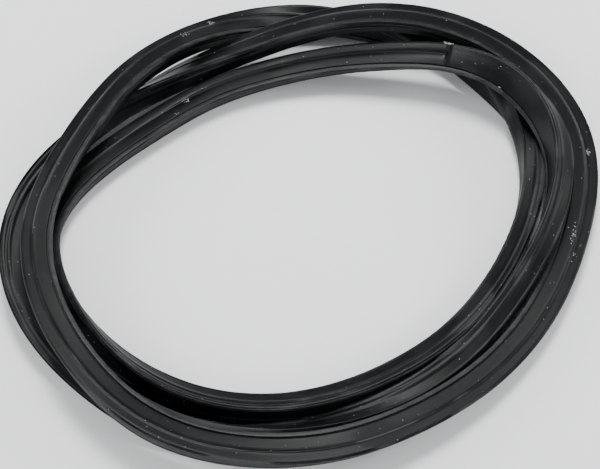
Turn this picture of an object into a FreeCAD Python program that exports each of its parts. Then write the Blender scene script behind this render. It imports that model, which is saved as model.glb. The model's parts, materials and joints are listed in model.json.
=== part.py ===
"""Endless wrapped V-belt, classical B section, lying coiled in three turns on a flat surface.

Millimetres, +Z up. The origin is the centre of the coil's box on the surface it lies on.
Every layer of the belt is one closed loop: its own cross-section carried along the same route.
In a cross-section u runs across the belt, towards the middle of the coil where the wide face is
up, and v runs from the narrow base to the wide top face.
"""
import FreeCAD, Part
import math
import os

# belt section
top_width = 17.0          # wide face
belt_height = 11.0        # wide face to base
wedge_angle = 40.0        # between the two flanks

# fabric cover: an outer and an inner ply, each one wrapped round and open along a seam
ply_thickness = 0.7
outer_seam_gap = 0.5      # slit beside the lap strip
inner_seam_gap = 0.4      # slit under the ridge
ridge_width = 1.2         # the outer ply stands up over the inner ply's seam
ridge_height = 0.3
ridge_offset = -2.0       # ridge centre from the middle of the wide face
lap_width = 2.2           # strip along one edge of the wide face
lap_thickness = 0.5
lap_margin = 0.5          # strip edge back from the edge of the wide face

# cords and the gum they are bedded in
cord_count = 8
cord_fill = 0.85          # corner to corner width of a cord, as a share of the cord pitch
cord_depth = 4.2          # cord centres below the wide face
cord_edge = 0.15          # clear of the cover at each side
gum_cover = 0.5           # gum over and under the cords

# transverse joint in the outer ply
splice_turn = 1.3625      # position along the route, in turns
splice_gap = 0.8

# lie of the coil
coil_radius = 122.5       # distance of the belt's middle from the coil's centre, on average
stations_per_turn = 18    # route rows per turn, evenly spaced in angle
start_angle = 180.0
spans_per_row = 4

# One row per 20 degrees, clockwise seen from above: distance of the belt's middle from the
# coil's centre, its height above the surface, and how far the belt has rolled about its own
# length. A roll of 0 is wide face up. The roll drops by 360 twice over the whole loop, which
# is what an endless belt does when it is folded into three turns. The rows are stated for a
# 17 x 11 section in a coil of 122.5 average radius. A bigger section spreads them evenly, so
# the turns keep the same room between them.
route_section = (17.0, 11.0)
route_radius = 122.5
route = [
    # first turn: over the top of the stack at the left, then under the others at the back
    (131, 18.9, 0), (120, 23, 5), (119.8, 26.8, 10), (125.1, 20, 14), (132.4, 9.5, 0),
    (136.5, 8.5, -50), (139, 10.6, -115), (140.8, 9.5, -195), (132.6, 10.4, -262),
    (115.1, 9.5, -270), (103.2, 9.2, -271), (97.3, 9.2, -272), (94, 9.2, -273),
    (96.1, 9.2, -275), (101.5, 9.2, -277), (108.4, 9.2, -283), (115.7, 9, -305),
    (123.4, 7, -338),
    # second turn: innermost at the back, middle at the right and front
    (132.8, 6.1, -357), (111, 6, -360), (97.3, 6.3, -354), (95.6, 6.9, -356), (96, 8, -362),
    (101.6, 12.8, -366), (112.4, 20.6, -372), (138, 27, -385), (146.3, 26.3, -438),
    (130.2, 22, -450), (114.6, 12.4, -454), (109.6, 9.6, -458), (108.7, 10.6, -468),
    (112.3, 10.2, -498), (117.4, 8.2, -528), (124.4, 8, -550), (129.9, 10.4, -575),
    (142, 12.3, -603),
    # third turn: outermost at the left, back, right and front
    (146.2, 10.4, -628), (131, 9.2, -640), (116.7, 9, -665), (111.4, 10.2, -692),
    (110.2, 17.9, -704), (120.2, 26, -708), (140, 24.9, -715), (157.3, 16.2, -716),
    (162, 8, -716), (141.2, 6.2, -718), (131, 6, -720), (124.2, 7.5, -721), (121, 11.8, -721),
    (124.2, 15.8, -722), (128.5, 18.5, -730), (135.1, 21.7, -738), (133.2, 25.3, -735),
    (132.2, 23.2, -725),
]
total_roll = -720.0

row_count = len(route)
row_angle = 360.0 / stations_per_turn
flank = math.tan(math.radians(wedge_angle / 2))
flank_cos = math.cos(math.radians(wedge_angle / 2))
v_top = belt_height / 2
v_base = -belt_height / 2


def blend(values, place):
    """Cubic B-spline through a closed list of numbers, at a place counted in rows."""
    first = math.floor(place)
    t = place - first
    before, here, after, beyond = [values[(first + k) % row_count] for k in (-1, 0, 1, 2)]
    return ((1 - t) ** 3 * before + (3 * t ** 3 - 6 * t ** 2 + 4) * here
            + (1 + 3 * t + 3 * t ** 2 - 3 * t ** 3) * after + t ** 3 * beyond) / 6


spread = max(1.0, top_width / route_section[0], belt_height / route_section[1])
radii = [(row[0] - route_radius) * spread + coil_radius * spread for row in route]
heights = [row[1] * spread for row in route]
extra_roll = [row[2] - total_roll * k / row_count for k, row in enumerate(route)]


def route_point(place):
    angle = math.radians(start_angle - row_angle * place)
    radius = blend(radii, place)
    return FreeCAD.Vector(radius * math.cos(angle), radius * math.sin(angle), blend(heights, place))


def section_axes(place):
    """Directions of u (across) and v (towards the wide face) at a place on the route."""
    step = 0.02
    along = (route_point(place + step) - route_point(place - step)).normalize()
    outward = FreeCAD.Vector(0, 0, 1).cross(along).normalize()
    upward = along.cross(outward)
    roll = math.radians(blend(extra_roll, place) + total_roll * place / row_count)
    across = upward * math.sin(roll) - outward * math.cos(roll)
    face = upward * math.cos(roll) + outward * math.sin(roll)
    return across, face


def half_width(v, inset=0.0):
    """Half the width inside the flanks at height v."""
    return top_width / 2 - (v_top - v) * flank - inset / flank_cos


def layer(low, high, inset):
    """Corners of a layer that fills the section between two heights."""
    return [(half_width(high, inset), high), (-half_width(high, inset), high),
            (-half_width(low, inset), low), (half_width(low, inset), low)]


def place_section(corners, place):
    middle = route_point(place)
    across, face = section_axes(place)
    return [middle + across * u + face * v for u, v in corners]


def rail(points, closed):
    """Edges along one corner of the section, one edge per row of the route."""
    curve = Part.BSplineCurve()
    curve.interpolate(Points=points, PeriodicFlag=closed)
    knots = curve.getKnots()
    stops = knots[::spans_per_row]
    if stops[-1] < knots[-1]:
        stops.append(knots[-1])
    edges = []
    for start, end in zip(stops, stops[1:]):
        piece = curve.copy()
        piece.segment(start, end)
        edges.append(piece.toShape())
    return edges


def carry(corners, first=None, last=None):
    """Solid made by carrying a section along the route, all the way round or from first to last."""
    closed = first is None
    start = 0 if closed else first
    end = row_count if closed else last
    spans = max(spans_per_row, round((end - start) * spans_per_row))
    places = [start + (end - start) * k / spans for k in range(spans if closed else spans + 1)]
    sections = [place_section(corners, place) for place in places]
    rails = [rail([section[k] for section in sections], closed) for k in range(len(corners))]
    faces = [Part.makeRuledSurface(edge, beside)
             for k in range(len(rails)) for edge, beside in zip(rails[k - 1], rails[k])]
    if not closed:
        faces += [Part.Face(Part.makePolygon(ends + ends[:1])) for ends in (sections[0], sections[-1])]
    shell = Part.makeShell(faces)
    shell.sewShape()
    solid = Part.Solid(shell)
    if solid.Volume < 0:
        solid.reverse()
    return solid


def wrapped_ply(outside, seam, gap, raised):
    """Section of a ply that wraps the belt and is open along a seam in the wide face."""
    inside = outside + ply_thickness
    top, base = v_top - outside, v_base + outside
    under_top, over_base = v_top - inside, v_base + inside
    return [(seam + gap / 2, under_top), (seam + gap / 2, top),
            (half_width(top, outside), top), (half_width(base, outside), base),
            (-half_width(base, outside), base), (-half_width(top, outside), top), *raised,
            (seam - gap / 2, top), (seam - gap / 2, under_top),
            (-half_width(under_top, inside), under_top), (-half_width(over_base, inside), over_base),
            (half_width(over_base, inside), over_base), (half_width(under_top, inside), under_top)]


# heights in the section, from the wide face down
core_inset = 2 * ply_thickness
cord_v = v_top - cord_depth
cord_pitch = 2 * (half_width(cord_v, core_inset) - cord_edge) / cord_count
cord_corner = cord_fill * cord_pitch / 2
cord_diameter = cord_corner * math.sqrt(3)
gum_top = cord_v + cord_diameter / 2 + gum_cover
gum_base = cord_v - cord_diameter / 2 - gum_cover
core_top = v_top - core_inset
core_base = v_base + core_inset

# the lap strip lies beside the outer seam, along one edge of the wide face
lap_outer = top_width / 2 - lap_margin
lap_inner = lap_outer - lap_width
outer_seam = lap_inner - outer_seam_gap / 2

cord_centres = [(k - (cord_count - 1) / 2) * cord_pitch for k in range(cord_count)]
hexagon = [(math.cos(math.radians(60 * k)) * cord_corner,
            math.sin(math.radians(60 * k)) * cord_corner) for k in range(6)]

ridge = [(ridge_offset - ridge_width / 2, v_top), (ridge_offset, v_top + ridge_height),
         (ridge_offset + ridge_width / 2, v_top)]
lap_section = [(lap_outer, v_top + lap_thickness), (lap_inner, v_top + lap_thickness),
               (lap_inner, v_top), (lap_outer, v_top)]

# the outer ply's two ends meet at the splice, with cement between them
splice_place = splice_turn * stations_per_turn
row_length = (route_point(splice_place + 0.5) - route_point(splice_place - 0.5)).Length
splice_rows = splice_gap / row_length
splice_start = splice_place - splice_rows / 2
splice_end = splice_place + splice_rows / 2

outer_ply = wrapped_ply(0.0, outer_seam, outer_seam_gap, ridge)
inner_ply = wrapped_ply(ply_thickness, ridge_offset, inner_seam_gap, [])

parts = {
    "cover_outer_ply": carry(outer_ply, splice_end, splice_start + row_count),
    "cover_inner_ply": carry(inner_ply),
    "cover_lap_strip": carry(lap_section),
    "splice_cement": carry(outer_ply, splice_start, splice_end),
    "tension_rubber": carry(layer(gum_top, core_top, core_inset)),
    "cushion_gum_upper": carry(layer(cord_v + cord_diameter / 2, gum_top, core_inset)),
    "cushion_gum_lower": carry(layer(gum_base, cord_v - cord_diameter / 2, core_inset)),
    "compression_rubber": carry(layer(core_base, gum_base, core_inset)),
}
for number, centre in enumerate(cord_centres, 1):
    cord = [(centre + u, cord_v + v) for u, v in hexagon]
    parts[f"tension_cord_{number}"] = carry(cord)

# stand the coil on its lowest point, with the middle of its box over the origin
box = FreeCAD.BoundBox()
for solid in parts.values():
    box.add(solid.optimalBoundingBox(False))
shift = FreeCAD.Vector(-box.Center.x, -box.Center.y, -box.ZMin)

os.makedirs("parts", exist_ok=True)
for name, solid in parts.items():
    solid.translate(shift)
    solid.exportStep(f"parts/{name}.step")

belt_length = sum((route_point(k / 4 + 0.25) - route_point(k / 4)).Length for k in range(4 * row_count))
print("belt length along the middle of the section", round(belt_length), "mm")
print("coil box", round(box.XLength, 1), round(box.YLength, 1), round(box.ZLength, 1))
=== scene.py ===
import bpy
import json
import math
import numpy as np
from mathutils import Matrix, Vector


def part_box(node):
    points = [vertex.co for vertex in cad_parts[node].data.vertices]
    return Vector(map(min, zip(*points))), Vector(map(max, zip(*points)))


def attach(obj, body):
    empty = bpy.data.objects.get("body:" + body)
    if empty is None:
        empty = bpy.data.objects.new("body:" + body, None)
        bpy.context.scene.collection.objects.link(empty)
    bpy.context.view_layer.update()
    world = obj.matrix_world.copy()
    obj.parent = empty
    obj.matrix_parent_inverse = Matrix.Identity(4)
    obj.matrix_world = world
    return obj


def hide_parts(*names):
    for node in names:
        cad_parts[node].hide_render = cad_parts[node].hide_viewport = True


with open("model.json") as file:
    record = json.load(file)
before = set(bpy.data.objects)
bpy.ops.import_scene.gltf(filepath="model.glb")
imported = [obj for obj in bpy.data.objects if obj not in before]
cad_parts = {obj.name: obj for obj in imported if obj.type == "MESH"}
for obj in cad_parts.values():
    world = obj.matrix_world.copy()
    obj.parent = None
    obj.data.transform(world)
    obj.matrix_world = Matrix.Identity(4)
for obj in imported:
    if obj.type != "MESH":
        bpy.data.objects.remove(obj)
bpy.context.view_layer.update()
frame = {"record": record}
print("frame loaded")

# The belt's wedge section, in metres: u runs across, v from the narrow base to the wide face.
belt = {
    "topWidth": 0.017,
    "height": 0.011,
    "wedgeAngle": 40.0,
    "plyThickness": 0.00064,
    "topRadius": 0.0012,         # rounding of the wide face's edges
    "baseRadius": 0.0010,
    "ridgeAt": -0.0020,          # from the middle of the wide face
    "ridgeHeight": 0.00028,
    "ridgeWidth": 0.0016,
    "valleyDepth": 0.00055,      # the ridge turns into a groove between two lobes before the splice
    "valleyWidth": 0.0022,
    "lobeHeight": 0.0003,
    "lobeStart": 6.0,            # the lobes rise between these rows before the splice
    "lobeFull": 3.5,
    "smoothStart": 4.0,          # and the plain ridge is back between these rows after it
    "smoothEnd": 7.0,
    "seamAt": 0.00555,           # slit beside the lap strip
    "seamWidth": 0.0006,
    "grooveAt": 0.0036,          # down the flank from the wide face's edge
    "grooveWidth": 0.0016,
    "grooveDepth": 0.0004,
    "stepAt": 0.0054,
    "flankSteps": 13,
    "unevenness": 0.00007,
    "stationsPerRow": 26,
    "splicePlace": 24.525,       # in rows along the route
    "spliceGap": 0.00055,
    "spliceProud": 0.00003,
}
rowsPerTurn = 18
startAngle = 180.0
totalRoll = -720.0
# One row per 20 degrees, clockwise from the left: distance of the belt's middle from the
# coil's centre, its height above the floor, and its roll in degrees. Roll 0 is wide face up.
route = [
    # first turn: over the top of the stack at the left, then under the others at the back
    (0.131, 0.0189, 0), (0.12, 0.023, 5), (0.1198, 0.0268, 10), (0.1251, 0.02, 14),
    (0.1324, 0.0095, 0), (0.1365, 0.0085, -50), (0.139, 0.0106, -115), (0.1408, 0.0095, -195),
    (0.1326, 0.0104, -262), (0.1151, 0.0095, -270), (0.1032, 0.0092, -271),
    (0.0973, 0.0092, -272), (0.094, 0.0092, -273), (0.0961, 0.0092, -275),
    (0.1015, 0.0092, -277), (0.1084, 0.0092, -283), (0.1157, 0.009, -305), (0.1234, 0.007, -338),
    # second turn: innermost at the back, middle at the right and front
    (0.1328, 0.0061, -357), (0.111, 0.006, -360), (0.0973, 0.0063, -354), (0.0956, 0.0069, -356),
    (0.096, 0.008, -362), (0.1016, 0.0128, -366), (0.1124, 0.0206, -372), (0.138, 0.027, -385),
    (0.1463, 0.0263, -438), (0.1302, 0.022, -450), (0.1146, 0.0124, -454),
    (0.1096, 0.0096, -458), (0.1087, 0.0106, -468), (0.1123, 0.0102, -498),
    (0.1174, 0.0082, -528), (0.1244, 0.008, -550), (0.1299, 0.0104, -575), (0.142, 0.0123, -603),
    # third turn: outermost at the left, back, right and front
    (0.1462, 0.0104, -628), (0.131, 0.0092, -640), (0.1167, 0.009, -665), (0.1114, 0.0102, -692),
    (0.1102, 0.0179, -704), (0.1202, 0.026, -708), (0.14, 0.0249, -715), (0.1573, 0.0162, -716),
    (0.162, 0.008, -716), (0.1412, 0.0062, -718), (0.131, 0.006, -720), (0.1242, 0.0075, -721),
    (0.121, 0.0118, -721), (0.1242, 0.0158, -722), (0.1285, 0.0185, -730),
    (0.1351, 0.0217, -738), (0.1332, 0.0253, -735), (0.1322, 0.0232, -725),
]
rowCount = len(route)
rowArray = np.array(route)
rollExtra = rowArray[:, 2] - totalRoll * np.arange(rowCount) / rowCount


def blendRows(values, place):
    # cubic B-spline through the closed list of rows
    first = np.floor(place).astype(int)
    t = place - first
    before, here, after, beyond = (values[(first + k) % rowCount] for k in (-1, 0, 1, 2))
    return ((1 - t) ** 3 * before + (3 * t ** 3 - 6 * t ** 2 + 4) * here
            + (1 + 3 * t + 3 * t ** 2 - 3 * t ** 3) * after + t ** 3 * beyond) / 6


def routePoints(place):
    angle = np.radians(startAngle - 360.0 / rowsPerTurn * place)
    radius = blendRows(rowArray[:, 0], place)
    return np.stack([radius * np.cos(angle), radius * np.sin(angle), blendRows(rowArray[:, 1], place)], 1)


def unit(vectors):
    return vectors / np.linalg.norm(vectors, axis=1)[:, None]


def routeAxes(place):
    # middle of the belt, direction across it and direction out of its wide face
    middle = routePoints(place)
    along = unit(routePoints(place + 0.02) - routePoints(place - 0.02))
    outward = unit(np.cross([0.0, 0.0, 1.0], along))
    upward = np.cross(along, outward)
    roll = np.radians(blendRows(rollExtra, place) + totalRoll * place / rowCount)[:, None]
    across = upward * np.sin(roll) - outward * np.cos(roll)
    face = upward * np.cos(roll) + outward * np.sin(roll)
    return middle, along, across, face


halfTop = belt["topWidth"] / 2
halfHeight = belt["height"] / 2
flank = math.tan(math.radians(belt["wedgeAngle"] / 2))


def halfWidth(v, inset=0.0):
    return halfTop - (halfHeight - v) * flank - inset / math.cos(math.radians(belt["wedgeAngle"] / 2))


# the row frame puts the middle of the coil's box over the origin, so the route moves with it
cadLow, cadHigh = (np.array(corner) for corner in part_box("cover_outer_ply"))
checkPlaces = np.arange(0, rowCount, 0.25)
middle, along, across, face = routeAxes(checkPlaces)
corners = np.concatenate([middle + across * u + face * v for u, v in (
    (halfTop, halfHeight), (-halfTop, halfHeight), (halfWidth(-halfHeight), -halfHeight),
    (-halfWidth(-halfHeight), -halfHeight), (belt["ridgeAt"], halfHeight + 0.0003))])
routeShift = (cadLow + cadHigh - corners.min(0) - corners.max(0)) / 2
print("route shift", routeShift)


def hump(x, centre, width):
    # smooth rise, 1 at the centre and 0 past its width
    return np.clip(1 - ((x - centre) / (width / 2)) ** 2, 0, 1) ** 2


def ramp(x, start, end):
    t = np.clip((x - start) / (end - start), 0, 1)
    return t * t * (3 - 2 * t)


def roundedCorner(before, corner, after, radius, steps):
    # points of the arc that rounds a corner
    a = (Vector(before) - Vector(corner)).normalized()
    b = (Vector(after) - Vector(corner)).normalized()
    half = a.angle(b) / 2
    centre = Vector(corner) + (a + b).normalized() * (radius / math.sin(half))
    start = Vector(corner) + a * (radius / math.tan(half)) - centre
    end = Vector(corner) + b * (radius / math.tan(half)) - centre
    turn = math.pi - 2 * half
    points = []
    for k in range(steps + 1):
        share = k / steps
        spoke = start * math.sin((1 - share) * turn) + end * math.sin(share * turn)
        points.append(tuple(centre + spoke / math.sin(turn)))
    return points


def between(start, end, count):
    # points inside a straight run, without its ends
    return [tuple(Vector(start).lerp(Vector(end), (k + 1) / (count + 1))) for k in range(count)]


def coverOutline():
    # outside of the ply from the slit round to the slit again, then back along its inside
    topRight, topLeft = (halfTop, halfHeight), (-halfTop, halfHeight)
    baseRight, baseLeft = (halfWidth(-halfHeight), -halfHeight), (-halfWidth(-halfHeight), -halfHeight)
    slitRight = belt["seamAt"] + belt["seamWidth"] / 2
    slitLeft = belt["seamAt"] - belt["seamWidth"] / 2
    outside = [(slitRight, halfHeight)]
    outside += roundedCorner((0, halfHeight), topRight, baseRight, belt["topRadius"], 4)
    rightEnd = roundedCorner(topRight, baseRight, baseLeft, belt["baseRadius"], 3)
    outside += between(outside[-1], rightEnd[0], belt["flankSteps"]) + rightEnd
    leftStart = roundedCorner(baseRight, baseLeft, topLeft, belt["baseRadius"], 3)
    outside += between(rightEnd[-1], leftStart[0], 3) + leftStart
    leftEnd = roundedCorner(baseLeft, topLeft, (0, halfHeight), belt["topRadius"], 4)
    outside += between(leftStart[-1], leftEnd[0], belt["flankSteps"]) + leftEnd
    ridge, reach = belt["ridgeAt"], belt["ridgeWidth"] / 2
    faceStops = [-0.0062, -0.0048, -0.0036]
    faceStops += [ridge + reach * share for share in (-1, -0.6, -0.3, 0, 0.3, 0.6, 1)]
    faceStops += [0.0002, 0.0018, 0.0034, 0.0047]
    outside += [(u, halfHeight) for u in faceStops] + [(slitLeft, halfHeight)]
    wall = belt["plyThickness"]
    under, over = halfHeight - wall, -halfHeight + wall
    inside = [(slitLeft, under), (-halfWidth(under, wall), under), (-halfWidth(over, wall), over),
              (halfWidth(over, wall), over), (halfWidth(under, wall), under), (slitRight, under)]
    return outside, inside


coverOutside, coverInside = coverOutline()
outlineU, outlineV = np.array(coverOutside + coverInside).T
outsideCount = len(coverOutside)
outlineReach = np.concatenate([[0], np.cumsum(np.hypot(np.diff(outlineU), np.diff(outlineV)))])


def outlineNormals(u, v):
    # directions out of the outline, point by point
    du, dv = np.roll(u, -1) - np.roll(u, 1), np.roll(v, -1) - np.roll(v, 1)
    length = np.hypot(du, dv)
    return -dv / length, du / length


def reliefOf(place):
    # how far each outline point stands out from the plain wedge, for every station
    place = place[:, None] % rowCount
    u, v = outlineU[None, :], outlineV[None, :]
    outside = np.arange(len(outlineU))[None, :] < outsideCount
    onFace = outside & (v > halfHeight - 1e-5)
    splice = belt["splicePlace"]
    lobed = ramp(place, splice - belt["lobeStart"], splice - belt["lobeFull"]) * (place < splice)
    smooth = (place >= splice) * (1 - ramp(place, splice + belt["smoothStart"], splice + belt["smoothEnd"]))
    relief = np.where(onFace, hump(u, belt["ridgeAt"], belt["ridgeWidth"]) * belt["ridgeHeight"], 0.0)
    relief = relief * (1 - lobed) * (1 - smooth)
    valley = hump(u, belt["ridgeAt"] + 0.0003, belt["valleyWidth"]) * belt["valleyDepth"]
    lobes = (hump(u, -0.0052, 0.0066) + 0.6 * hump(u, 0.0022, 0.0068)) * belt["lobeHeight"]
    relief = relief + onFace * lobed * (lobes - valley)
    relief = relief + onFace * smooth * belt["lobeHeight"] * hump(u, 0, 0.0165)
    onFlank = outside & (v < halfHeight - 0.0008) & (v > -halfHeight + 0.0006)
    drop = (halfHeight - v) / math.cos(math.radians(belt["wedgeAngle"] / 2))
    grooves = hump(drop, belt["grooveAt"], belt["grooveWidth"])
    grooves = grooves + ramp(drop, belt["stepAt"], belt["stepAt"] + 0.0008)
    relief = relief - onFlank * belt["grooveDepth"] * grooves
    sway = 0.5 * np.sin(place * 2.1 + u * 300) + 0.3 * np.sin(place * 5.3 + 1.7)
    sway = sway + 0.2 * np.sin(place * 9.7 + v * 400)
    return relief + outside * sway * belt["unevenness"]


# edges, ridge and flank lines painted pale: partly wear, partly painted highlight
wearAndSheen = {
    "ridgeWidth": 0.0011, "ridgeShare": 0.8,
    "edgeFrom": 0.0004, "edgeWidth": 0.0028,       # along the wide face's edges
    "baseWidth": 0.0030, "baseShare": 0.6,
    "lineAside": 0.0011, "lineWidth": 0.0018, "lineShare": 0.55,   # both sides of the flank groove
}


def wearAndSheenOf(place):
    # where edges, ridge and flank lines are painted pale, 0 to 1 for every outline point and station: partly
    # wear, partly a painted highlight for the light these raised edges catch
    place = place[:, None] % rowCount
    u, v = outlineU[None, :], outlineV[None, :]
    outside = np.arange(len(outlineU))[None, :] < outsideCount
    onFace = outside & (v > halfHeight - 1e-5)
    splice = belt["splicePlace"]
    lobed = ramp(place, splice - belt["lobeStart"], splice - belt["lobeFull"])
    ridged = 1 - lobed * (1 - ramp(place, splice + belt["smoothStart"], splice + belt["smoothEnd"]))
    rubbedAndSheen = onFace * hump(u, belt["ridgeAt"], wearAndSheen["ridgeWidth"]) * ridged * wearAndSheen["ridgeShare"]
    drop = (halfHeight - v) / math.cos(math.radians(belt["wedgeAngle"] / 2))
    edge = np.hypot(np.abs(u) - halfTop, v - halfHeight)
    rubbedAndSheen = rubbedAndSheen + outside * hump(edge, wearAndSheen["edgeFrom"], wearAndSheen["edgeWidth"])
    base = np.hypot(np.abs(u) - halfWidth(-halfHeight), v + halfHeight)
    rubbedAndSheen = rubbedAndSheen + outside * hump(base, 0.0, wearAndSheen["baseWidth"]) * wearAndSheen["baseShare"]
    lines = sum(hump(drop, belt["grooveAt"] + side * wearAndSheen["lineAside"], wearAndSheen["lineWidth"])
                for side in (-1, 1))
    rubbedAndSheen = rubbedAndSheen + outside * lines * wearAndSheen["lineShare"]
    return np.clip(rubbedAndSheen, 0, 1)


def meshPiece(name, vertices, faces, uvs=None):
    mesh = bpy.data.meshes.new(name)
    mesh.from_pydata([tuple(point) for point in vertices], [], faces)
    mesh.update()
    if uvs is not None:
        layer = mesh.uv_layers.new(name="along")
        layer.data.foreach_set("uv", np.asarray(uvs, dtype=np.float32).ravel())
    mesh.shade_smooth()
    piece = bpy.data.objects.new(name, mesh)
    bpy.context.scene.collection.objects.link(piece)
    return piece


def sweptCover(name, places, lift=0.0):
    # the cover's outline carried along the route at the given places, closed at both ends
    middle, along, across, face = routeAxes(places)
    normalU, normalV = outlineNormals(outlineU, outlineV)
    relief = reliefOf(places) + (np.arange(len(outlineU)) < outsideCount) * lift
    u = outlineU + normalU * relief
    v = outlineV + normalV * relief
    points = middle[:, None] + across[:, None] * u[..., None] + face[:, None] * v[..., None] + routeShift
    rings, width = points.shape[:2]
    reach = np.concatenate([[0], np.cumsum(np.linalg.norm(np.diff(middle, axis=0), axis=1))])
    faces, uvs = [], []
    for ring in range(rings - 1):
        here, there = ring * width, (ring + 1) * width
        for k in range(width):
            beside = (k + 1) % width
            far = outlineReach[k + 1] if k + 1 < width else outlineReach[k] + belt["plyThickness"]
            faces.append((here + beside, here + k, there + k, there + beside))
            uvs += [(reach[ring], far), (reach[ring], outlineReach[k]),
                    (reach[ring + 1], outlineReach[k]), (reach[ring + 1], far)]
    for cap in (range(width), range(rings * width - 1, (rings - 1) * width - 1, -1)):
        faces.append(tuple(cap))
        uvs += [(reach[0], outlineReach[k % width]) for k in cap]
    piece = meshPiece(name, points.reshape(-1, 3), faces, uvs)
    # paleness of edges, ridge and flank lines on every point: partly wear, partly painted highlight
    rubbedAndSheen = piece.data.attributes.new("wearAndSheen", "FLOAT", "POINT")
    rubbedAndSheen.data.foreach_set("value", wearAndSheenOf(places).astype(np.float32).ravel())
    return piece


# the cover ply is open at the slit and at the splice
splicePlace = belt["splicePlace"]
besideSplice = routePoints(np.array([splicePlace - 0.5, splicePlace + 0.5]))
metresPerRow = float(np.linalg.norm(besideSplice[1] - besideSplice[0]))
gapRows = belt["spliceGap"] / metresPerRow
plyPlaces = np.linspace(splicePlace + gapRows / 2, splicePlace - gapRows / 2 + rowCount,
                        rowCount * belt["stationsPerRow"])
coverPly = sweptCover("coverOuterPly", plyPlaces)
print("cover ply", len(coverPly.data.polygons), "faces")

# cement fills the splice and stands a little proud of the cover
cementPlaces = np.linspace(splicePlace - gapRows / 2, splicePlace + gapRows / 2, 5)
spliceCement = sweptCover("spliceCement", cementPlaces, lift=belt["spliceProud"])
print("splice cement done")


def newTree(name, sockets):
    # sockets: (name, socket type, default) for every input after the geometry
    tree = bpy.data.node_groups.new(name, "GeometryNodeTree")
    tree.interface.new_socket("Geometry", in_out="INPUT", socket_type="NodeSocketGeometry")
    for label, kind, default in sockets:
        socket = tree.interface.new_socket(label, in_out="INPUT", socket_type=kind)
        if default is not None:
            socket.default_value = default
    tree.interface.new_socket("Geometry", in_out="OUTPUT", socket_type="NodeSocketGeometry")
    return tree, tree.nodes.new("NodeGroupInput"), tree.nodes.new("NodeGroupOutput")


def node(tree, kind, settings=None, **inputs):
    made = tree.nodes.new(kind)
    for name, value in (settings or {}).items():
        setattr(made, name, value)
    for name, value in inputs.items():
        socket = made.inputs[name.replace("_", " ")]
        if isinstance(value, bpy.types.NodeSocket):
            tree.links.new(value, socket)
        else:
            socket.default_value = value
    return made


def finishTree(tree, geometry, material, output):
    realized = node(tree, "GeometryNodeRealizeInstances", Geometry=geometry)
    painted = node(tree, "GeometryNodeSetMaterial", Geometry=realized.outputs[0], Material=material)
    tree.links.new(painted.outputs[0], output.inputs[0])


def grow(name, base, tree, values):
    # runs the tree on the base object and keeps the result as a plain mesh
    modifier = base.modifiers.new("grow", "NODES")
    modifier.node_group = tree
    for item in tree.interface.items_tree:
        if item.item_type == "SOCKET" and item.in_out == "INPUT" and item.name in values:
            modifier[item.identifier] = values[item.name]
    bpy.context.view_layer.update()
    depsgraph = bpy.context.evaluated_depsgraph_get()
    mesh = bpy.data.meshes.new_from_object(base.evaluated_get(depsgraph))
    base.modifiers.remove(modifier)
    mesh.name = name
    piece = bpy.data.objects.new(name, mesh)
    bpy.context.scene.collection.objects.link(piece)
    return piece


# lap strip along the inner edge of the wide face
lapStripSet = {"at": 0.0069, "width": 0.0022, "thickness": 0.00046, "rounding": 0.0002, "stationsPerRow": 26}


def stripTree(material):
    tree, start, output = newTree("stripAlongRoute", [
        ("Width", "NodeSocketFloat", 0.002), ("Thickness", "NodeSocketFloat", 0.0005),
        ("Rounding", "NodeSocketFloat", 0.0002)])
    curve = node(tree, "GeometryNodeMeshToCurve", Mesh=start.outputs["Geometry"])
    facing = node(tree, "GeometryNodeInputNamedAttribute", {"data_type": "FLOAT_VECTOR"}, Name="facing")
    turned = node(tree, "GeometryNodeSetCurveNormal", {"mode": "FREE"}, Curve=curve.outputs[0],
                  Normal=facing.outputs["Attribute"])
    section = node(tree, "GeometryNodeCurvePrimitiveQuadrilateral", {"mode": "RECTANGLE"},
                   Width=start.outputs["Thickness"], Height=start.outputs["Width"])
    rounded = node(tree, "GeometryNodeFilletCurve", {"mode": "POLY"}, Curve=section.outputs[0],
                   Count=3, Radius=start.outputs["Rounding"])
    strip = node(tree, "GeometryNodeCurveToMesh", Curve=turned.outputs[0], Profile_Curve=rounded.outputs[0])
    finishTree(tree, strip.outputs[0], material, output)
    return tree


def routeWire(name, u, v, places, closed):
    # a chain of edges beside the route, with the wide face's direction on every point
    middle, along, across, face = routeAxes(places)
    points = middle + across * u + face * v + routeShift
    edges = [(k, k + 1) for k in range(len(points) - 1)]
    if closed:
        edges.append((len(points) - 1, 0))
    mesh = bpy.data.meshes.new(name)
    mesh.from_pydata([tuple(point) for point in points], edges, [])
    facing = mesh.attributes.new("facing", "FLOAT_VECTOR", "POINT")
    facing.data.foreach_set("vector", face.astype(np.float32).ravel())
    wire = bpy.data.objects.new(name, mesh)
    bpy.context.scene.collection.objects.link(wire)
    return wire


# specks of pale dust over the cover, clustered scuffs and the flash beside the splice
dustSet = {"count": 900, "seed": 7, "smallest": 0.00009, "largest": 0.00026, "flatness": 0.35}
# each scuff: place along the route in rows, distance across, how far it spreads both ways, specks
scuffs = [
    (20.35, 0.003, 0.0035, 0.0015, 26), (20.62, -0.001, 0.0035, 0.0012, 22),
    (21.0, -0.004, 0.004, 0.0012, 18), (3.05, -0.002, 0.0040, 0.0012, 22),
    (3.45, -0.0035, 0.0028, 0.0012, 16), (44.2, -0.0032, 0.0015, 0.0010, 22),
    (45.1, 0.0005, 0.0060, 0.0014, 30), (45.35, -0.003, 0.0025, 0.0010, 12),
    (25.2, 0.005, 0.0012, 0.0006, 14), (25.75, 0.0065, 0.0010, 0.0006, 10),
]
scuffSet = {"seed": 11, "smallest": 0.00010, "largest": 0.00034}
flashSet = {"seed": 5, "smallest": 0.00008, "largest": 0.00024, "specks": 14}


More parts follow.
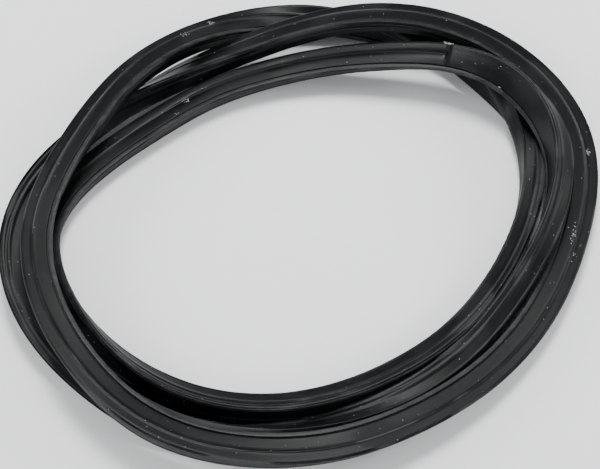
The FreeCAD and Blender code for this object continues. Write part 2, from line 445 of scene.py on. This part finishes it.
def speckTree(name, scattered, material):
    # small flattened flakes, turned to the surface; scattered ones pick their own points on faces
    tree, start, output = newTree(name, [
        ("Count", "NodeSocketFloat", 100.0), ("Smallest", "NodeSocketFloat", 0.0001),
        ("Largest", "NodeSocketFloat", 0.0003), ("Flatness", "NodeSocketFloat", 0.4),
        ("Seed", "NodeSocketInt", 1)])
    if scattered:
        skin = node(tree, "GeometryNodeInputNamedAttribute", {"data_type": "BOOLEAN"}, Name="outerSkin")
        points = node(tree, "GeometryNodeDistributePointsOnFaces", {"distribute_method": "RANDOM"},
                      Mesh=start.outputs["Geometry"], Density=start.outputs["Count"],
                      Seed=start.outputs["Seed"], Selection=skin.outputs["Attribute"])
        places, turning = points.outputs["Points"], points.outputs["Rotation"]
    else:
        facing = node(tree, "GeometryNodeInputNamedAttribute", {"data_type": "FLOAT_VECTOR"}, Name="facing")
        toward = node(tree, "FunctionNodeAlignRotationToVector", {"axis": "Z"},
                      Vector=facing.outputs["Attribute"])
        points = node(tree, "GeometryNodeMeshToPoints", Mesh=start.outputs["Geometry"])
        places, turning = points.outputs[0], toward.outputs[0]
    flake = node(tree, "GeometryNodeMeshIcoSphere", Radius=1.0, Subdivisions=1)
    spin = node(tree, "FunctionNodeRandomValue", {"data_type": "FLOAT"}, Seed=start.outputs["Seed"])
    spin.inputs[3].default_value = 2 * math.pi
    spinAbout = node(tree, "ShaderNodeCombineXYZ", Z=spin.outputs[1])
    turned = node(tree, "FunctionNodeRotateRotation", {"rotation_space": "LOCAL"}, Rotation=turning,
                  Rotate_By=spinAbout.outputs[0])
    size = node(tree, "FunctionNodeRandomValue", {"data_type": "FLOAT"}, Seed=start.outputs["Seed"])
    tree.links.new(start.outputs["Smallest"], size.inputs[2])
    tree.links.new(start.outputs["Largest"], size.inputs[3])
    longer = node(tree, "ShaderNodeMath", {"operation": "MULTIPLY"})
    tree.links.new(size.outputs[1], longer.inputs[0])
    longer.inputs[1].default_value = 1.7
    flatter = node(tree, "ShaderNodeMath", {"operation": "MULTIPLY"})
    tree.links.new(size.outputs[1], flatter.inputs[0])
    tree.links.new(start.outputs["Flatness"], flatter.inputs[1])
    scale = node(tree, "ShaderNodeCombineXYZ", X=longer.outputs[0], Y=size.outputs[1], Z=flatter.outputs[0])
    flakes = node(tree, "GeometryNodeInstanceOnPoints", Points=places, Instance=flake.outputs[0],
                  Rotation=turned.outputs[0], Scale=scale.outputs[0])
    finishTree(tree, flakes.outputs[0], material, output)
    return tree


def speckPoints(name, marks, seed):
    # loose points just on the cover's surface, with the surface's direction on every point
    rng = np.random.default_rng(seed)
    points, facings = [], []
    for place, u, spreadAlong, spreadAcross, count in marks:
        places = place + rng.normal(0, spreadAlong / metresPerRow / 2, count)
        offsets = u + rng.normal(0, spreadAcross, count) * 0.6
        middle, along, across, face = routeAxes(places)
        points.append(middle + across * offsets[:, None] + face * (halfHeight + 0.00003) + routeShift)
        facings.append(face)
    points, facings = np.concatenate(points), np.concatenate(facings)
    mesh = bpy.data.meshes.new(name)
    mesh.from_pydata([tuple(point) for point in points], [], [])
    facing = mesh.attributes.new("facing", "FLOAT_VECTOR", "POINT")
    facing.data.foreach_set("vector", facings.astype(np.float32).ravel())
    cloud = bpy.data.objects.new(name, mesh)
    bpy.context.scene.collection.objects.link(cloud)
    return cloud


def newGroup(name, inputs, outputs):
    tree = bpy.data.node_groups.new(name, "ShaderNodeTree")
    for label, kind, default in inputs:
        socket = tree.interface.new_socket(label, in_out="INPUT", socket_type=kind)
        if default is not None:
            socket.default_value = default
    for label, kind in outputs:
        tree.interface.new_socket(label, in_out="OUTPUT", socket_type=kind)
    return tree, tree.nodes.new("NodeGroupInput"), tree.nodes.new("NodeGroupOutput")


def ramped(tree, value, low, high):
    # 0 below low, 1 above high
    made = tree.nodes.new("ShaderNodeMapRange")
    made.interpolation_type = "SMOOTHSTEP"
    tree.links.new(value, made.inputs["Value"])
    made.inputs["From Min"].default_value = low
    made.inputs["From Max"].default_value = high
    return made.outputs["Result"]


def mathOf(tree, operation, a, b):
    made = tree.nodes.new("ShaderNodeMath")
    made.operation = operation
    for socket, value in zip(made.inputs, (a, b)):
        if isinstance(value, bpy.types.NodeSocket):
            tree.links.new(value, socket)
        else:
            socket.default_value = value
    return made.outputs[0]


def noiseOf(tree, vector, scale, detail, roughness=0.5):
    made = tree.nodes.new("ShaderNodeTexNoise")
    tree.links.new(vector, made.inputs["Vector"])
    made.inputs["Scale"].default_value = scale
    made.inputs["Detail"].default_value = detail
    made.inputs["Roughness"].default_value = roughness
    return made.outputs["Fac"]


def stretched(tree, vector, scale):
    made = tree.nodes.new("ShaderNodeMapping")
    tree.links.new(vector, made.inputs["Vector"])
    made.inputs["Scale"].default_value = scale
    return made.outputs["Vector"]


def mixColour(tree, mask, low, high):
    made = tree.nodes.new("ShaderNodeMix")
    made.data_type = "RGBA"
    tree.links.new(mask, made.inputs["Factor"])
    for name, value in (("A", low), ("B", high)):
        socket = next(s for s in made.inputs if s.name == name and s.type == "RGBA")
        if isinstance(value, bpy.types.NodeSocket):
            tree.links.new(value, socket)
        else:
            socket.default_value = (*value, 1)
    return next(s for s in made.outputs if s.type == "RGBA")


def rubberSkinGroup():
    # height and mottling of worked rubber: fine grain, streaks along the belt, wrinkles across it
    tree, start, output = newGroup("rubberSkin", [
        ("Vector", "NodeSocketVector", None), ("Grain Size", "NodeSocketFloat", 2600.0),
        ("Streaks", "NodeSocketFloat", 0.5), ("Wrinkles", "NodeSocketFloat", 0.4)],
        [("Height", "NodeSocketFloat"), ("Mottling", "NodeSocketFloat")])
    vector = start.outputs["Vector"]
    grain = noiseOf(tree, vector, 2600.0, 3.0, 0.6)
    tree.links.new(start.outputs["Grain Size"], grain.node.inputs["Scale"])
    streak = noiseOf(tree, stretched(tree, vector, (30, 1400, 1)), 1.0, 4.0, 0.6)
    wrinkle = noiseOf(tree, stretched(tree, vector, (900, 70, 1)), 1.0, 2.0, 0.5)
    where = ramped(tree, noiseOf(tree, stretched(tree, vector, (26, 60, 1)), 1.0, 1.0), 0.5, 0.72)
    folds = mathOf(tree, "MULTIPLY", mathOf(tree, "MULTIPLY", wrinkle, where), start.outputs["Wrinkles"])
    lines = mathOf(tree, "MULTIPLY", streak, start.outputs["Streaks"])
    height = mathOf(tree, "ADD", mathOf(tree, "ADD", mathOf(tree, "MULTIPLY", grain, 0.45), lines), folds)
    tree.links.new(height, output.inputs["Height"])
    cloudy = noiseOf(tree, stretched(tree, vector, (55, 260, 1)), 1.0, 4.0, 0.65)
    blotches = mathOf(tree, "ADD", mathOf(tree, "MULTIPLY", cloudy, 0.55),
                      mathOf(tree, "MULTIPLY", streak, 0.15))
    fine = mathOf(tree, "MULTIPLY", mathOf(tree, "SUBTRACT", grain, 0.35), 0.9)
    mottling = ramped(tree, mathOf(tree, "ADD", blotches, mathOf(tree, "ADD", fine, folds)), 0.28, 0.95)
    tree.links.new(mottling, output.inputs["Mottling"])
    return tree


def dustFilmGroup():
    # pale film that settles in patches, and fine scratches along and across the belt
    tree, start, output = newGroup("dustFilm", [
        ("Vector", "NodeSocketVector", None), ("Amount", "NodeSocketFloat", 0.5)],
        [("Film", "NodeSocketFloat"), ("Scratches", "NodeSocketFloat")])
    vector = start.outputs["Vector"]
    patches = ramped(tree, noiseOf(tree, stretched(tree, vector, (34, 150, 1)), 1.0, 5.0, 0.7), 0.50, 0.80)
    specks = ramped(tree, noiseOf(tree, vector, 2100.0, 2.0, 0.7), 0.62, 0.72)
    film = mathOf(tree, "MULTIPLY", mathOf(tree, "ADD", patches, mathOf(tree, "MULTIPLY", specks, 0.6)),
                  start.outputs["Amount"])
    tree.links.new(film, output.inputs["Film"])
    lines = ramped(tree, noiseOf(tree, stretched(tree, vector, (160, 5200, 1)), 1.0, 2.0, 0.6), 0.66, 0.74)
    patchy = ramped(tree, noiseOf(tree, stretched(tree, vector, (40, 90, 1)), 1.0, 1.0), 0.52, 0.68)
    tree.links.new(mathOf(tree, "MULTIPLY", lines, patchy), output.inputs["Scratches"])
    return tree


rubberSkin = rubberSkinGroup()
dustFilm = dustFilmGroup()


def groupNode(tree, group, values, vector):
    made = tree.nodes.new("ShaderNodeGroup")
    made.node_tree = group
    tree.links.new(vector, made.inputs["Vector"])
    for name, value in values.items():
        made.inputs[name].default_value = value
    return made


def newMaterial(name):
    material = bpy.data.materials.new(name)
    material.use_nodes = True
    tree = material.node_tree
    return material, tree, tree.nodes["Principled BSDF"]


def surfaceVector(tree, mapName):
    # the piece's own UV map, or Object coordinates where it has none
    if mapName:
        made = tree.nodes.new("ShaderNodeUVMap")
        made.uv_map = mapName
        return made.outputs["UV"]
    made = tree.nodes.new("ShaderNodeTexCoord")
    return made.outputs["Object"]


def rubberMaterial(name, finish, mapName=None):
    material, tree, shader = newMaterial(name)
    vector = surfaceVector(tree, mapName)
    skin = groupNode(tree, rubberSkin, {"Streaks": finish["streaks"], "Wrinkles": finish["wrinkles"]}, vector)
    dust = groupNode(tree, dustFilm, {"Amount": finish["dust"]}, vector)
    colour = mixColour(tree, skin.outputs["Mottling"], finish["dark"], finish["light"])
    colour = mixColour(tree, dust.outputs["Film"], colour, finish["dustColour"])
    colour = mixColour(tree, mathOf(tree, "MULTIPLY", dust.outputs["Scratches"], finish["scratches"]),
                       colour, finish["scratchColour"])
    if mapName:
        # paler colour painted along edges, ridge and flank lines: partly wear, partly painted highlight
        rubbedAndSheen = tree.nodes.new("ShaderNodeAttribute")
        rubbedAndSheen.attribute_name = "wearAndSheen"
        patchy = ramped(tree, skin.outputs["Mottling"], 0.30, 0.62)
        colour = mixColour(tree, mathOf(tree, "MULTIPLY", rubbedAndSheen.outputs["Fac"], patchy),
                           colour, finish["wearAndSheenColour"])
    tree.links.new(colour, shader.inputs["Base Color"])
    rough = mathOf(tree, "MULTIPLY_ADD", skin.outputs["Mottling"], finish["roughSpread"])
    rough.node.inputs[2].default_value = finish["rough"]
    dusted = mathOf(tree, "MULTIPLY_ADD", dust.outputs["Film"], 0.35)
    tree.links.new(rough, dusted.node.inputs[2])
    tree.links.new(dusted, shader.inputs["Roughness"])
    bump = tree.nodes.new("ShaderNodeBump")
    bump.inputs["Strength"].default_value = finish["bump"]
    bump.inputs["Distance"].default_value = finish["bumpDepth"]
    tree.links.new(skin.outputs["Height"], bump.inputs["Height"])
    tree.links.new(bump.outputs["Normal"], shader.inputs["Normal"])
    shader.inputs["Specular IOR Level"].default_value = finish["specular"]
    return material


# the pale edge colour is partly wear, partly a painted highlight along edges and ridges
coverFinish = {
    "dark": (0.0009, 0.0011, 0.0012), "light": (0.0062, 0.0068, 0.0073),
    "dust": 0.22, "dustColour": (0.034, 0.036, 0.038), "wearAndSheenColour": (0.058, 0.061, 0.065),
    "scratches": 0.5, "scratchColour": (0.09, 0.095, 0.10),
    "streaks": 0.45, "wrinkles": 1.1, "rough": 0.34, "roughSpread": 0.22,
    "bump": 0.7, "bumpDepth": 0.00014, "specular": 0.15,
}
# the lap strip is painted far paler than the cover: a painted highlight for the light its lip catches
lapSheenFinish = dict(coverFinish, dark=(0.004, 0.0045, 0.005), light=(0.060, 0.063, 0.067),
                 dust=0.15, streaks=0.6, wrinkles=0.2)
cementFinish = dict(coverFinish, dust=0.1, streaks=0.1, wrinkles=0.1, rough=0.5)
coreFinish = dict(coverFinish, dust=0.05, streaks=0.1, wrinkles=0.0, rough=0.6)
gumFinish = dict(coverFinish, dark=(0.03, 0.026, 0.022), light=(0.06, 0.054, 0.046), dust=0.05,
                 streaks=0.1, wrinkles=0.0, rough=0.7)

coverRubber = rubberMaterial("coverRubber", coverFinish, "along")
# lap strip material, painted pale as a highlight on the lip
lapSheenRubber = rubberMaterial("lapSheenRubber", lapSheenFinish)
cementRubber = rubberMaterial("cementRubber", cementFinish, "along")
coreRubber = rubberMaterial("coreRubber", coreFinish)
adhesionGum = rubberMaterial("adhesionGum", gumFinish)


def paleSpeckMaterial(name, dark, light):
    material, tree, shader = newMaterial(name)
    tint = noiseOf(tree, surfaceVector(tree, None), 900.0, 2.0)
    tree.links.new(mixColour(tree, tint, dark, light), shader.inputs["Base Color"])
    shader.inputs["Roughness"].default_value = 0.85
    return material


paleDust = paleSpeckMaterial("paleDust", (0.10, 0.105, 0.11), (0.34, 0.35, 0.36))
chalkScuff = paleSpeckMaterial("chalkScuff", (0.14, 0.145, 0.15), (0.42, 0.43, 0.44))
whiteFlash = paleSpeckMaterial("whiteFlash", (0.55, 0.55, 0.54), (0.85, 0.85, 0.84))


def wovenPlyMaterial():
    material, tree, shader = newMaterial("wovenPly")
    vector = surfaceVector(tree, None)
    threads = []
    for slant in (45, -45):
        turned = tree.nodes.new("ShaderNodeMapping")
        turned.inputs["Rotation"].default_value[2] = math.radians(slant)
        tree.links.new(vector, turned.inputs["Vector"])
        wave = tree.nodes.new("ShaderNodeTexWave")
        wave.inputs["Scale"].default_value = 420.0
        wave.inputs["Distortion"].default_value = 0.6
        tree.links.new(turned.outputs["Vector"], wave.inputs["Vector"])
        threads.append(wave.outputs["Fac"])
    weave = mathOf(tree, "MULTIPLY", *threads)
    colour = mixColour(tree, weave, (0.02, 0.02, 0.02), (0.075, 0.07, 0.065))
    tree.links.new(colour, shader.inputs["Base Color"])
    shader.inputs["Roughness"].default_value = 0.8
    bump = tree.nodes.new("ShaderNodeBump")
    bump.inputs["Strength"].default_value = 0.6
    bump.inputs["Distance"].default_value = 0.0002
    tree.links.new(weave, bump.inputs["Height"])
    tree.links.new(bump.outputs["Normal"], shader.inputs["Normal"])
    return material


def twistedCordMaterial():
    material, tree, shader = newMaterial("twistedCord")
    vector = surfaceVector(tree, None)
    wave = tree.nodes.new("ShaderNodeTexWave")
    wave.bands_direction = "DIAGONAL"
    wave.inputs["Scale"].default_value = 380.0
    wave.inputs["Distortion"].default_value = 1.2
    tree.links.new(vector, wave.inputs["Vector"])
    tree.links.new(mixColour(tree, wave.outputs["Fac"], (0.42, 0.38, 0.30), (0.74, 0.70, 0.60)),
                   shader.inputs["Base Color"])
    shader.inputs["Roughness"].default_value = 0.75
    bump = tree.nodes.new("ShaderNodeBump")
    bump.inputs["Distance"].default_value = 0.0002
    tree.links.new(wave.outputs["Fac"], bump.inputs["Height"])
    tree.links.new(bump.outputs["Normal"], shader.inputs["Normal"])
    return material


wovenPly = wovenPlyMaterial()
twistedCord = twistedCordMaterial()
print("materials done")

loopPlaces = np.arange(0, rowCount, 1 / lapStripSet["stationsPerRow"])
lapWire = routeWire("lapWire", lapStripSet["at"], halfHeight + lapStripSet["thickness"] / 2, loopPlaces, True)
lapStrip = grow("coverLapStrip", lapWire, stripTree(lapSheenRubber), {
    "Width": lapStripSet["width"], "Thickness": lapStripSet["thickness"],
    "Rounding": lapStripSet["rounding"]})
bpy.data.objects.remove(lapWire)
print("lap strip", len(lapStrip.data.polygons), "faces")

coverMesh = coverPly.data
skinFaces = np.zeros(len(coverMesh.polygons), dtype=bool)
perRing = len(outlineU)
ringFaces = np.arange(len(coverMesh.polygons) - 2)
skinFaces[:-2] = ringFaces % perRing < outsideCount - 1
outerSkin = coverMesh.attributes.new("outerSkin", "BOOLEAN", "FACE")
outerSkin.data.foreach_set("value", skinFaces)
coverArea = sum(polygon.area for polygon in coverMesh.polygons if skinFaces[polygon.index])
dustSpecks = grow("dustSpecks", coverPly, speckTree("dustOverCover", True, paleDust), {
    "Count": dustSet["count"] / coverArea, "Smallest": dustSet["smallest"], "Largest": dustSet["largest"],
    "Flatness": dustSet["flatness"], "Seed": dustSet["seed"]})
print("dust", len(dustSpecks.data.polygons), "faces")

scuffCloud = speckPoints("scuffCloud", scuffs, scuffSet["seed"])
scuffMarks = grow("scuffMarks", scuffCloud, speckTree("scuffSpecks", False, chalkScuff), {
    "Smallest": scuffSet["smallest"], "Largest": scuffSet["largest"], "Flatness": 0.3,
    "Seed": scuffSet["seed"]})
bpy.data.objects.remove(scuffCloud)
flashMarks = [(splicePlace - 0.02, -halfTop + 0.0012, 0.0030, 0.0006, flashSet["specks"]),
              (splicePlace + 0.14, halfTop - 0.0009, 0.0075, 0.0003, flashSet["specks"])]
flashCloud = speckPoints("flashCloud", flashMarks, flashSet["seed"])
spliceFlash = grow("spliceFlash", flashCloud, speckTree("flashSpecks", False, whiteFlash), {
    "Smallest": flashSet["smallest"], "Largest": flashSet["largest"], "Flatness": 0.5,
    "Seed": flashSet["seed"]})
bpy.data.objects.remove(flashCloud)
print("scuffs", len(scuffMarks.data.polygons), "flash", len(spliceFlash.data.polygons), "faces")

# seen along the belt the outline runs clockwise, so once the dust is on, the faces are turned outwards
for swept in (coverPly, spliceCement):
    swept.data.flip_normals()
coverPly.data.materials.append(coverRubber)
spliceCement.data.materials.append(cementRubber)
for piece in (coverPly, spliceCement, lapStrip, dustSpecks, scuffMarks, spliceFlash):
    piece.data.shade_smooth()
    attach(piece, "root")

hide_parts("cover_outer_ply")
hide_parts("cover_lap_strip")
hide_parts("splice_cement")

coreMaterials = {"outer_cover": coreRubber, "inner_cover": wovenPly, "cement": cementRubber,
                 "rubber": coreRubber, "gum": adhesionGum, "cord": twistedCord}
for subpart in frame["record"]["subparts"]:
    solid = bpy.data.objects.get(subpart["node"])
    if solid and solid.data.materials:
        solid.data.materials[0] = coreMaterials[subpart["material_slot"]]
    elif solid:
        solid.data.materials.append(coreMaterials[subpart["material_slot"]])
print("core painted")

view = {"lens": 85.0, "sensor": 36.0, "elevation": 60.0, "distance": 0.7367, "aim": (0.00156, 0.0009, 0.0)}
cameraData = bpy.data.cameras.new("camera")
cameraData.lens = view["lens"]
cameraData.sensor_width = view["sensor"]
camera = bpy.data.objects.new("camera", cameraData)
bpy.context.scene.collection.objects.link(camera)
tilt = math.radians(view["elevation"])
aim = Vector(view["aim"]) + Vector((routeShift[0], routeShift[1], 0))
camera.location = aim + Vector((0, -math.cos(tilt), math.sin(tilt))) * view["distance"]
camera.rotation_euler = (math.pi / 2 - tilt, 0, 0)
bpy.context.scene.camera = camera

lights = {
    "overhead": {"at": (0.0, 0.35, 1.05), "size": 0.35, "watts": 14.0},
    "leftSide": {"at": (-1.0, 0.1, 0.55), "size": 0.4, "watts": 6.0},
    "rightSide": {"at": (1.0, 0.1, 0.55), "size": 0.4, "watts": 6.0},
    "frontLow": {"at": (0.0, -1.2, 0.7), "size": 0.6, "watts": 5.0},
}


def softLight(name, at, size, watts):
    data = bpy.data.lights.new(name, "AREA")
    data.energy = watts
    data.shape = "SQUARE"
    data.size = size
    lamp = bpy.data.objects.new(name, data)
    lamp.location = at
    lamp.rotation_euler = (-Vector(at)).to_track_quat("-Z", "Y").to_euler()
    bpy.context.scene.collection.objects.link(lamp)


for name, light in lights.items():
    softLight(name, **light)

studio = {"sky": (0.93, 0.95, 1.0), "skyStrength": 0.52, "floor": (0.93, 0.93, 0.93), "floorHalf": 3.0}
world = bpy.data.worlds.new("studio")
bpy.context.scene.world = world
world.use_nodes = True
background = world.node_tree.nodes["Background"]
background.inputs["Color"].default_value = (*studio["sky"], 1)
background.inputs["Strength"].default_value = studio["skyStrength"]

half = studio["floorHalf"]
floorMesh = bpy.data.meshes.new("floor")
floorMesh.from_pydata([(-half, -half, 0), (half, -half, 0), (half, half, 0), (-half, half, 0)], [],
                      [(0, 1, 2, 3)])
floorPlane = bpy.data.objects.new("floor", floorMesh)
bpy.context.scene.collection.objects.link(floorPlane)
floorPaint, floorTree, floorShader = newMaterial("paleFloor")
floorShader.inputs["Base Color"].default_value = (*studio["floor"], 1)
floorShader.inputs["Roughness"].default_value = 0.9
floorShader.inputs["Specular IOR Level"].default_value = 0.1
floorMesh.materials.append(floorPaint)
print("stage done")
